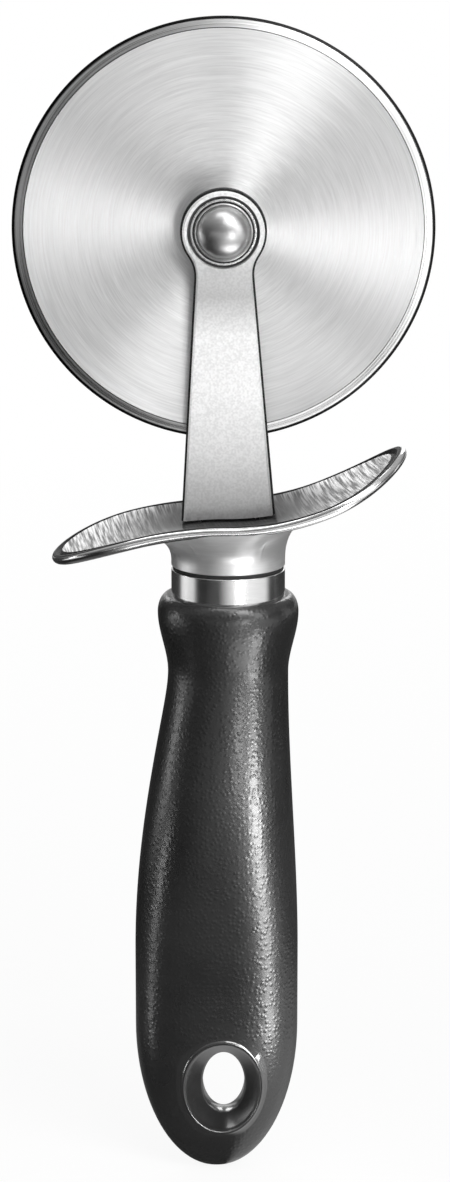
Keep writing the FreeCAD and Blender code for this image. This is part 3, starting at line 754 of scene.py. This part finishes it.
def fork_arm(name, node, sign):
    """One arm with its eye, sunk seat, chamfered edges and tang; sign is the side of the blade."""
    outline = arm_side(1) + arm_side(-1)[-2::-1]
    inner = inset(outline, ARM_CHAMFER)
    for point in (inner[0], inner[-1]):
        point.y = foot_height(point.x)
    middle = [start.lerp(end, CHAMFER_BRIGHT_SHARE) for start, end in zip(inner, outline)]
    bright_drop = ARM_CHAMFER * CHAMFER_BRIGHT_SHARE

    def face_point(point, drop=0.0):
        return (point.x, sign * (ARM_OUTER - strap_hollow(point) - drop), point.y)

    def seat_point(point):
        return (point.x, sign * (ARM_OUTER - SEAT_DEPTH), point.y)

    def back_point(point):
        return (point.x, sign * ARM_INNER, point.y)

    form = bmesh.new()
    seat_edge, face_foot = fill_arm(form, inner, face_point, SEAT_RADIUS)
    bore_edge, back_foot = fill_arm(form, outline, back_point, AXLE_RADIUS)
    chamfer = add_patch(form, [
        [face_point(point) for point in inner],
        [face_point(point, bright_drop) for point in middle],
        [face_point(point, ARM_CHAMFER) for point in outline],
        [back_point(point) for point in outline]])
    # The outer part of the chamfer and the side walls take the near-black steel: painted shade for the
    # dark line along the arm's edge.
    for strip in chamfer[1:]:
        for face in strip:
            face.material_index = 1
    add_patch(form, [
        [face_point(point) for point in seat_edge],
        [seat_point(point) for point in seat_edge],
        [seat_point(point) for point in bore_edge],
        [back_point(point) for point in bore_edge]])
    add_patch(form, [
        [face_point(point) for point in face_foot],
        [back_point(point) for point in back_foot]])
    for end in (0, -1):
        corners = (
            face_point(inner[end]), face_point(middle[end], bright_drop),
            face_point(outline[end], ARM_CHAMFER), back_point(outline[end]))
        form.faces.new([form.verts.new(point) for point in corners])
    weld(form)
    grow_tang(form, outline[-1].y, outline[0].y)
    place = (AXLE.x, 0, AXLE.z)
    finish_piece(name, form, "handle", node, [ARM_STEEL, PAINTED_SHADE_STEEL], place)


def grow_tang(form, low_foot, high_foot):
    """Draw the middle of the foot's lower side down into a tang."""
    tang_end = arm_low.z - AXLE.z
    chosen = []
    for face in form.faces:
        middle = face.calc_center_median()
        faces_down = abs(face.normal.z) > DOWNWARD
        at_foot = low_foot <= middle.z <= high_foot
        if faces_down and at_foot and abs(middle.x - FOOT_X) < TANG_HALF:
            chosen.append(face)
    bmesh.ops.inset_region(form, faces=chosen, thickness=TANG_STEP, use_even_offset=True)
    # The tang's new faces take the near-black steel: painted shade in the gap under the foot.
    grown = bmesh.ops.extrude_face_region(form, geom=chosen)
    for part in grown["geom"]:
        if isinstance(part, bmesh.types.BMVert):
            part.co.z = tang_end
            for face in part.link_faces:
                face.material_index = 1
    bmesh.ops.delete(form, geom=chosen, context="FACES")
    bmesh.ops.recalc_face_normals(form, faces=form.faces)


# Guard, seal and ferrule

def guard_edge(turn):
    """Distance from the neck axis to the guard's outline: straight sides with round ends."""
    across = math.sin(turn)
    along = math.cos(turn)
    reach = GUARD_RIGHT if along > 0 else GUARD_LEFT
    centre = math.copysign(reach - GUARD_HALF_DEPTH, along)
    if abs(across) > TINY and abs(GUARD_HALF_DEPTH / across * along) <= abs(centre):
        return GUARD_HALF_DEPTH / abs(across)
    return centre * along + math.sqrt(GUARD_HALF_DEPTH ** 2 - (centre * across) ** 2)


def guard_point(distance, turn, lift):
    """A point of the guard: distance from the neck axis, and lift off the middle of its thickness."""
    x = distance * math.cos(turn)
    y = distance * math.sin(turn)
    if x >= 0:
        bend = RIGHT_BEND + GUARD_HALF_THICK
        up = math.sqrt(1 - (x / bend) ** 2)
        normal = Vector((-x / bend, 0, up))
        z = RIGHT_BEND - bend * up
    else:
        bend = LEFT_BEND - GUARD_HALF_THICK
        up = math.sqrt(1 - (x / bend) ** 2)
        normal = Vector((x / bend, 0, up))
        z = bend * up - LEFT_BEND
    dish = GUARD_DISH * (distance / guard_edge(turn)) ** DISH_POWER
    return Vector((x, y, z)) + normal * (lift + dish)


def bezier(start, first, second, end, share):
    low = start.lerp(first, share)
    middle = first.lerp(second, share)
    high = second.lerp(end, share)
    return low.lerp(middle, share).lerp(middle.lerp(high, share), share)


def resampled(points, count):
    """The same chain with evenly spaced points."""
    lengths = [0.0]
    for first, second in zip(points, points[1:]):
        lengths.append(lengths[-1] + (second - first).length)
    chain = []
    index = 0
    for share in shares(count):
        goal = lengths[-1] * share
        while index < len(points) - 2 and lengths[index + 1] < goal:
            index += 1
        gap = lengths[index + 1] - lengths[index]
        chain.append(points[index].lerp(points[index + 1], (goal - lengths[index]) / gap))
    return chain


def guard_underside(turn, edge, rim):
    """From the rim's end inwards under the wing and down the trumpet to the neck."""
    under = [rim[-1]]
    wing_end = edge - GUARD_HALF_THICK
    flare_start = NECK_RADIUS + FLARE_REACH
    if wing_end > flare_start:
        for share in shares(WING_STEPS)[1:]:
            under.append(guard_point(mix(wing_end, flare_start, share), turn, -GUARD_HALF_THICK))
    start = under[-1]
    before = under[-2] if len(under) > 1 else rim[-2]
    heading = (start - before).normalized()
    neck = Vector((NECK_RADIUS * math.cos(turn), NECK_RADIUS * math.sin(turn), -FLARE_DROP))
    pull = (start - neck).length * FLARE_PULL
    leaving = start + heading * pull
    arriving = neck + Vector((0, 0, pull))
    flare = [bezier(start, leaving, arriving, neck, share) for share in shares(FLARE_STEPS)]
    return resampled(under + flare[1:], UNDERSIDE_ROWS)[1:]


def guard_column(turn):
    """One slice of the guard: slot, dished top, rounded rim, underside, trumpet and neck."""
    edge = guard_edge(turn)
    slot = min(
        SLOT_HALF_X / max(abs(math.cos(turn)), TINY), SLOT_HALF_Y / max(abs(math.sin(turn)), TINY))
    half = GUARD_HALF_THICK
    dish_edge = edge - half - GROOVE_WIDTH
    column = [guard_point(mix(slot, dish_edge, share), turn, half) for share in shares(DISH_ROWS)]
    column.append(guard_point(dish_edge + GROOVE_WIDTH / 2, turn, half - GROOVE_DEPTH))
    column.append(guard_point(edge - half, turn, half))
    overhang = edge - NECK_RADIUS
    shortest = GUARD_HALF_DEPTH - NECK_RADIUS
    wing_share = ease((overhang - shortest) / (FLARE_REACH + half - shortest))
    rim_end = math.radians(mix(RIM_END_SIDE, RIM_END_WING, wing_share))
    for share in shares(RIM_ROWS)[1:]:
        bend = mix(math.pi / 2, rim_end, share)
        column.append(guard_point(edge - half * (1 - math.cos(bend)), turn, half * math.sin(bend)))
    column += guard_underside(turn, edge, column)
    outward = Vector((math.cos(turn), math.sin(turn), 0))
    floor = Vector((0, 0, -GUARD_NECK))
    column.append(outward * NECK_RADIUS + floor + Vector((0, 0, SEAM_CHAMFER)))
    column.append(outward * (NECK_RADIUS - SEAM_CHAMFER) + floor)
    column.append(outward * slot + floor)
    return column


def thumb_guard():
    rim_start = DISH_ROWS + GROOVE_ROWS
    form = bmesh.new()
    columns = []
    for step in range(GUARD_SEGMENTS):
        columns.append(guard_column(2 * math.pi * step / GUARD_SEGMENTS))
    for strip in add_patch(form, closed([closed(column) for column in columns])):
        for face in strip[:DISH_ROWS]:
            face.material_index = 1
        # The groove and the rim's top rows take the near-black steel: painted shade for the dark line
        # round the dish.
        for face in strip[DISH_ROWS:rim_start + DARK_RIM_ROWS]:
            face.material_index = 2
        for face in strip[rim_start + RIM_ROWS:]:
            face.material_index = 3
    weld(form)
    finish_piece(
        "guard", form, "handle", "thumb_guard",
        [GUARD_METAL, DISH_METAL, PAINTED_SHADE_STEEL, NECK_METAL], (NECK_X, 0, GUARD_FLOOR))


def collar(name, node, material, soft):
    """A ring about the neck axis that fills its node's box, with softened edges."""
    low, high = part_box(node)
    outer = half_width(node)
    inner = NECK_RADIUS - COLLAR_WALL
    profile = [(inner, low.z), (outer, low.z), (outer, high.z), (inner, high.z)]
    form = turned(softened(profile, soft), upright=True, segments=COLLAR_SEGMENTS)
    finish_piece(name, form, "handle", node, [material], (NECK_X, 0, 0))


# Grip

def soft_start(share):
    """The share itself, but leaving zero without a kink."""
    settle = 0.05
    return (share - settle * (1 - math.exp(-share / settle))) / (1 - settle)


def grip_section(height):
    """Middle, half width, half depth and squareness of the grip at a height."""
    lip = GRIP_TOP - LIP_DROP
    waist = GRIP_TOP - WAIST_DROP
    down = min(max((waist - height) / (waist - BELLY_HEIGHT), 0.0), 1.0)
    left = mix(NECK_X - WAIST_HALF_WIDTH, -BELLY_LEFT, math.sin(soft_start(down) * math.pi / 2))
    right = mix(NECK_X + WAIST_HALF_WIDTH, BELLY_RIGHT, ease(down))
    middle = (left + right) / 2
    wide = (right - left) / 2
    power = mix(ROUND_POWER, BELLY_POWER, ease(down))
    if height > lip:
        rise = math.sqrt(max(0.0, 1 - ((height - lip) / LIP_DROP) ** 2))
        edge = NECK_RADIUS + EDGE_WALL
        wide = mix(edge, LIP_HALF_WIDTH, rise)
        deep = mix(edge, LIP_HALF_DEPTH, rise)
    elif height > waist:
        share = ease((lip - height) / (lip - waist))
        wide = mix(LIP_HALF_WIDTH, WAIST_HALF_WIDTH, share)
        deep = mix(LIP_HALF_DEPTH, WAIST_HALF_DEPTH, share)
    elif height > PALM_HEIGHT:
        share = ease((waist - height) / (waist - PALM_HEIGHT))
        deep = mix(WAIST_HALF_DEPTH, PALM_HALF_DEPTH, share)
    else:
        share = ease((PALM_HEIGHT - height) / (PALM_HEIGHT - END_HEIGHT))
        deep = mix(PALM_HALF_DEPTH, END_HALF_DEPTH, share)
    if height < END_HEIGHT:
        shrink = math.sqrt(max(0.0, 1 - ((END_HEIGHT - height) / (END_HEIGHT - GRIP_TIP)) ** 2))
        wide *= shrink
        deep *= shrink
    return middle, wide, deep, power


def grip_row(height):
    """The front half of a section, from its left side to its right."""
    middle, wide, deep, power = grip_section(height)
    row = []
    for share in shares(GRIP_COLUMNS):
        turn = math.pi * (1 + share)
        along = math.copysign(abs(math.cos(turn)) ** (2 / power), math.cos(turn))
        across = abs(math.sin(turn)) ** (2 / power) if 0 < share < 1 else 0.0
        row.append(Vector((middle + wide * along, -deep * across, height)))
    return row


def grip_face(x, z):
    """Y of the grip's front at a place seen from the front."""
    middle, wide, deep, power = grip_section(z)
    return -deep * (1 - min(1.0, abs(x - middle) / wide) ** power) ** (1 / power)


def grip_heights():
    lip = GRIP_TOP - LIP_DROP
    waist = GRIP_TOP - WAIST_DROP
    quarter = math.pi / 2
    heights = [lip + LIP_DROP * math.cos(share * quarter) for share in shares(LIP_ROWS)]
    heights += [mix(lip, waist, share) for share in shares(WAIST_ROWS)[1:]]
    heights += [mix(waist, BELLY_HEIGHT, share) for share in shares(PALM_ROWS)[1:]]
    heights += [mix(BELLY_HEIGHT, END_HEIGHT, share) for share in shares(BELLY_ROWS)[1:]]
    heights += [mix(END_HEIGHT, GRIP_TIP, math.sin(share * quarter)) for share in shares(TIP_ROWS)[1:]]
    return heights


def nearest_row(heights, goal):
    return min(range(len(heights)), key=lambda row: abs(heights[row] - goal))


def hole_rim(turn):
    """Where the hang hole's funnel meets the grip's front, in a direction from its centre."""
    depth = RIM_HALF_DEPTH
    for step in range(SEARCH_STEPS):
        share = (depth - THROAT_HALF_DEPTH) / (RIM_HALF_DEPTH - THROAT_HALF_DEPTH)
        x = mix(THROAT_HALF_WIDTH, RIM_HALF_WIDTH, share) * math.cos(turn)
        z = mix(THROAT_HALF_HEIGHT, RIM_HALF_HEIGHT, share) * math.sin(turn)
        depth = -grip_face(x, z)
    return Vector((x, -depth, z))


def hole_chain(start):
    """From a point of the grip's front over the rounded rim and down the funnel to mid-depth."""
    turn = math.atan2(start.z / RIM_HALF_HEIGHT, start.x / RIM_HALF_WIDTH)
    rim = hole_rim(turn)
    throat_x = THROAT_HALF_WIDTH * math.cos(turn)
    throat_z = THROAT_HALF_HEIGHT * math.sin(turn)
    throat = Vector((throat_x, -THROAT_HALF_DEPTH, throat_z))
    outside = Vector((rim.x, 0, rim.z)) * RIM_ROUND_SHARE
    outside.y = grip_face(outside.x, outside.z)
    inside = rim.lerp(throat, RIM_ROUND_SHARE - 1)
    crest = rim + Vector((0, -RIM_BEAD, 0))
    chain = []
    for share in shares(SKIN_STEPS + 1)[:-1]:
        x = mix(start.x, outside.x, share)
        z = mix(start.z, outside.z, share)
        chain.append(Vector((x, grip_face(x, z), z)))
    chain[0] = start
    for share in shares(BEAD_STEPS):
        chain.append(outside.lerp(crest, share).lerp(crest.lerp(inside, share), share))
    chain += [inside.lerp(throat, share) for share in shares(FUNNEL_STEPS)[1:]]
    chain.append(Vector((throat_x, 0, throat_z)))
    return chain


def grip_mouth(top):
    """From the lip's inner edge down along the ferrule, closed at the ferrule's lower end."""
    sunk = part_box("ferrule")[0].z
    axis = Vector((NECK_X, 0, GRIP_TOP))
    inner = [axis + (point - axis) * NECK_RADIUS / (NECK_RADIUS + EDGE_WALL) for point in top]
    lower = [Vector((point.x, point.y, sunk)) for point in inner]
    centre = [Vector((NECK_X, 0, sunk)) for point in inner]
    return [top, inner, lower, centre]


def grip():
    first_column = SIDE_COLUMNS
    last_column = GRIP_COLUMNS - SIDE_COLUMNS
    heights = grip_heights()
    rows = [grip_row(height) for height in heights]
    upper = nearest_row(heights, HOLE_BLOCK_TOP)
    lower = nearest_row(heights, HOLE_BLOCK_BOTTOM)
    form = bmesh.new()
    add_patch(form, rows[:upper + 1])
    add_patch(form, rows[lower:])
    add_patch(form, [row[:first_column + 1] for row in rows[upper:lower + 1]])
    add_patch(form, [row[last_column:] for row in rows[upper:lower + 1]])
    border = rows[upper][first_column:last_column + 1]
    border += [row[last_column] for row in rows[upper + 1:lower + 1]]
    border += rows[lower][first_column:last_column][::-1]
    border += [row[first_column] for row in rows[upper + 1:lower]][::-1]
    for strip in add_patch(form, closed([hole_chain(point) for point in border])):
        for face in strip[SKIN_STEPS:]:
            face.material_index = 1
    add_patch(form, grip_mouth(rows[0]))
    front_half = form.verts[:] + form.edges[:] + form.faces[:]
    bmesh.ops.mirror(form, geom=front_half, axis="Y", merge_dist=WELD)
    weld(form)
    finish_piece("grip", form, "handle", "grip_sleeve", [GRIP_RUBBER, RIM_RUBBER])


def hidden_pieces():
    """Hidden pieces keep the frame's own mesh and only get a material."""
    hidden = {"tang_spacer": ARM_STEEL, "tang_pins": ARM_STEEL, "handle_core": CORE_PLASTIC}
    for name, material in hidden.items():
        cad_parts[name].data.materials.clear()
        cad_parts[name].data.materials.append(material)


# Stage

FOCAL_PIXELS = 3754
IMAGE_HEIGHT = 1182
SENSOR_SIZE = 36
CAMERA_SIDE = 0.22 * MM
CAMERA_AWAY = 560 * MM
CAMERA_RISE = 73.7 * MM
CAMERA_TILT = 13
FLOOR_HALF = 6.0
SHADOW_START = 0.05
SHADOW_END = 0.6
FILL_LEVEL = 0.35
AREA_LAMP_FACTOR = 4
LAMP_AIM = AXLE.z * 0.8
ZONE_FADE_SHARE = 0.3
# Painted reflections: the floor's glow to glossy rays, in zones by distance from the tool and by
# azimuth.
FLOOR_ZONES = (
    (0.00, (
        (-180, 0.3), (-100, 0.08), (20, 0.08), (45, 0.8), (100, 0.8), (130, 0.3), (180, 0.3))),
    (0.08, (
        (-180, 0.1), (-130, 0.02), (-40, 0.02), (-8, 0.25), (25, 0.45), (62, 0.45), (75, 0.02),
        (180, 0.1))),
    (0.26, (
        (-180, 0.4), (-165, 0.04), (-114, 0.04), (-106, 0.9), (-74, 0.9), (-66, 0.02), (-18, 0.02),
        (10, 1.0), (80, 1.0), (92, 0.04), (165, 0.04), (180, 0.4))),
    (0.75, (
        (-180, 1.0), (-145, 0.03), (-46, 0.03), (-26, 0.95), (60, 1.0), (80, 0.4), (140, 0.4),
        (160, 1.0), (180, 1.0))),
)


def direction(azimuth, elevation):
    """Unit vector: azimuth 0 is towards the camera and 90 is to the right."""
    turn = math.radians(azimuth)
    tilt = math.radians(elevation)
    flat = math.cos(tilt)
    return Vector((math.sin(turn) * flat, -math.cos(turn) * flat, math.sin(tilt)))


def softbox(name, place, size, brightness, aim=LAMP_AIM, spread=180):
    """A rectangular lamp that faces the tool's axis at the height of its aim.

    The place is azimuth, elevation and distance, and the size is width and height. A spread of less
    than 180 degrees is a grid on the lamp.
    """
    azimuth, elevation, distance = place
    width, height = size
    lamp = bpy.data.lights.new(name, "AREA")
    lamp.shape = "RECTANGLE"
    lamp.size = width
    lamp.size_y = height
    lamp.energy = AREA_LAMP_FACTOR * brightness * width * height
    lamp.spread = math.radians(spread)
    made = bpy.data.objects.new(name, lamp)
    bpy.context.scene.collection.objects.link(made)
    made.visible_camera = False
    toward = direction(azimuth, elevation)
    made.location = Vector((0, 0, aim)) + toward * distance
    made.rotation_euler = toward.to_track_quat("Z", "Y").to_euler()


def studio_world():
    """White to the camera and a plain fill for surfaces.

    Reflections show a grey room with a white backdrop.
    """
    world = bpy.data.worlds.new("studio")
    bpy.context.scene.world = world
    world.use_nodes = True
    tree = world.node_tree
    spot = add_node(tree, "ShaderNodeTexCoord").outputs["Generated"]
    axes = add_node(tree, "ShaderNodeSeparateXYZ", {0: spot}).outputs
    behind = ranged(tree, axes["Y"], 0.0, 1.0, 0.85, 0.96)
    low = ranged(tree, axes["Z"], 1.0, 0.0, 0.08, 0.22)
    backdrop = ranged(tree, low, 0.55, 1.0, 0, 1)
    walls = ranged(tree, axes["Z"], 0.06, 0.45, 0.1, 0.6)
    room = ranged(tree, behind, walls, backdrop, 0, 1)
    rays = add_node(tree, "ShaderNodeLightPath").outputs
    surfaces = ranged(tree, rays["Is Glossy Ray"], FILL_LEVEL, room, 0, 1)
    clear = combined(tree, "MAXIMUM", rays["Is Camera Ray"], rays["Is Transmission Ray"])
    background = tree.nodes["Background"]
    background.inputs["Color"].default_value = (1, 1, 1, 1)
    tree.links.new(ranged(tree, clear, surfaces, 1.0, 0, 1), background.inputs["Strength"])


def painted_floor_reflections(tree):
    """How bright the floor looks in reflections: painted reflections of bright and dark zones round the
    tool, which glow only to glossy rays.

    Each zone starts at a distance from the tool and has its level by azimuth.
    """
    spot = object_spot(tree)
    away = length_of(tree, spot)
    axes = add_node(tree, "ShaderNodeSeparateXYZ", {0: spot}).outputs
    toward_camera = combined(tree, "MULTIPLY", axes["Y"], -1.0)
    azimuth = combined(tree, "ARCTAN2", axes["X"], toward_camera)
    share = ranged(tree, azimuth, 0.0, 1.0, -math.pi, math.pi)
    level = 0.0
    for reach, turns in FLOOR_ZONES:
        zone = graded(tree, share, [((turn + 180) / 360, bright) for turn, bright in turns])
        faded = reach * (1 + ZONE_FADE_SHARE)
        level = ranged(tree, away, level, zone, reach, faded) if reach else zone
    return level


def floor_paper():
    """Pale paper, white to the camera, that keeps the tool's shadow and shows painted reflections of
    bright and dark zones.
    """
    material, tree, shader = new_material("floor_paper")
    fibre = noise(tree, object_spot(tree), 2 * MM, detail=2.0)
    shader.inputs["Roughness"].default_value = 0.9
    wire(tree, shader, Base_Color=ranged(tree, fibre, 0.84, 0.86))
    rays = add_node(tree, "ShaderNodeLightPath").outputs
    strength = ranged(tree, rays["Is Glossy Ray"], 1.0, painted_floor_reflections(tree), 0, 1)
    glow = add_node(tree, "ShaderNodeEmission", {"Color": (1, 1, 1, 1), "Strength": strength})
    clear = combined(tree, "MAXIMUM", rays["Is Camera Ray"], rays["Is Transmission Ray"])
    away = length_of(tree, object_spot(tree))
    plain = combined(
        tree, "MULTIPLY", clear, ranged(tree, away, 0.9, 1.0, SHADOW_START, SHADOW_END))
    amount = combined(tree, "MAXIMUM", plain, rays["Is Glossy Ray"])
    joined = add_node(
        tree, "ShaderNodeMixShader", {0: amount, 1: shader.outputs[0], 2: glow.outputs[0]})
    tree.links.new(joined.outputs[0], tree.nodes["Material Output"].inputs["Surface"])
    return material


def floor():
    """A flat floor under the grip's tip."""
    form = bmesh.new()
    add_patch(form, [
        [(-FLOOR_HALF, -FLOOR_HALF, 0), (FLOOR_HALF, -FLOOR_HALF, 0)],
        [(-FLOOR_HALF, FLOOR_HALF, 0), (FLOOR_HALF, FLOOR_HALF, 0)]])
    mesh = bpy.data.meshes.new("floor")
    form.to_mesh(mesh)
    form.free()
    mesh.materials.append(floor_paper())
    made = bpy.data.objects.new("floor", mesh)
    bpy.context.scene.collection.objects.link(made)
    made.location = (0, 0, GRIP_TIP)


def studio_lamps():
    """Soft lamps in front, above and behind, and narrow ones close to the grip and the blade."""
    softbox("key_softbox", (24, -7.5, 0.5), (0.1, 0.08), 8)
    softbox("fill_softbox", (50, 11, 0.7), (0.3, 0.3), 1.7)
    softbox("middle_softbox", (36, 20, 0.7), (0.2, 0.2), 1.7)
    softbox("upper_softbox", (25, 37, 0.7), (0.3, 0.3), 5)
    softbox("top_softbox", (-4, 64, 0.8), (0.5, 0.3), 2)
    softbox("left_strip", (-94, -4, 0.6), (0.08, 0.2), 3)
    softbox("rim_strip", (110, -2, 0.6), (0.08, 0.25), 1.0)
    softbox("low_softbox", (32, -54, 0.19), (0.2, 0.06), 0.4, aim=AXLE.z + 20 * MM, spread=60)
    softbox("grip_strip", (46, 0, 0.07), (0.015, 0.06), 3.6, aim=17 * MM, spread=80)
    softbox("side_strip", (-72, 0, 0.07), (0.004, 0.044), 1.6, aim=9 * MM, spread=80)
    softbox("rear_left_softbox", (-154, 30, 0.7), (0.3, 0.3), 3)
    softbox("rear_right_softbox", (165, 24, 0.7), (0.2, 0.3), 2.5)


def camera():
    """The photograph's view: a little above the blade, tilted down."""
    lens = bpy.data.cameras.new("camera")
    lens.sensor_width = SENSOR_SIZE
    lens.lens = SENSOR_SIZE * FOCAL_PIXELS / IMAGE_HEIGHT
    made = bpy.data.objects.new("camera", lens)
    bpy.context.scene.collection.objects.link(made)
    made.location = (CAMERA_SIDE, -CAMERA_AWAY, AXLE.z + CAMERA_RISE)
    made.rotation_euler = (math.radians(90 - CAMERA_TILT), 0, 0)
    bpy.context.scene.camera = made


blade()
hub()
axle()
fork_arm("arm_front", "fork_arm_front", -1)
fork_arm("arm_rear", "fork_arm_rear", 1)
thumb_guard()
collar("neck_ring", "neck_seal", SEAL_RUBBER, SEAL_SOFT)
collar("ferrule_collar", "ferrule", GUARD_METAL, FERRULE_SOFT)
grip()
hidden_pieces()

floor()
studio_world()
studio_lamps()
camera()
bpy.context.scene.view_settings.view_transform = "Standard"
